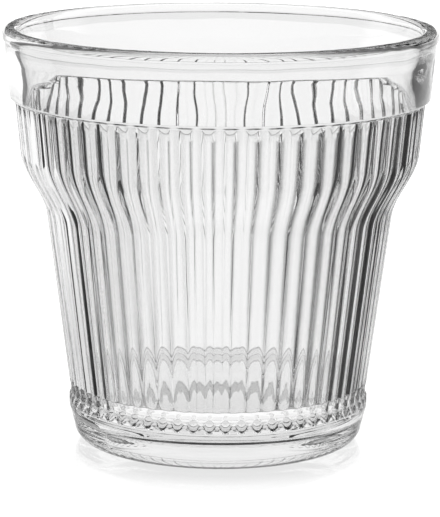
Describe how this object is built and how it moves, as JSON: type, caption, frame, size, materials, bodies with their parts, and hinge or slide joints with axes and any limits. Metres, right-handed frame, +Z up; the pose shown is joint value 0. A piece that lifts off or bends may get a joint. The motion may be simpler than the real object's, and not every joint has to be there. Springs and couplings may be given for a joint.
{
  "type": "plastic tumbler",
  "caption": "Clear one-piece plastic drinking tumbler: rounded vertical ribs that swell out over a shoulder, a plain band under a beaded rim, a smooth inside and a recessed foot.",
  "frame": {"origin": "middle of the face that the tumbler stands on, at the centre of its standing ring", "axes": "+Z up along the tumbler's axis, out of its mouth; X and Y are equal, as the tumbler is round"},
  "size_m": [0.091, 0.091, 0.088],
  "materials": {
    "clear_plastic": "clear, glossy, as moulded"
  },
  "bodies": {
    "root": {"tumbler_body": "clear_plastic"}
  },
  "joints": []
}
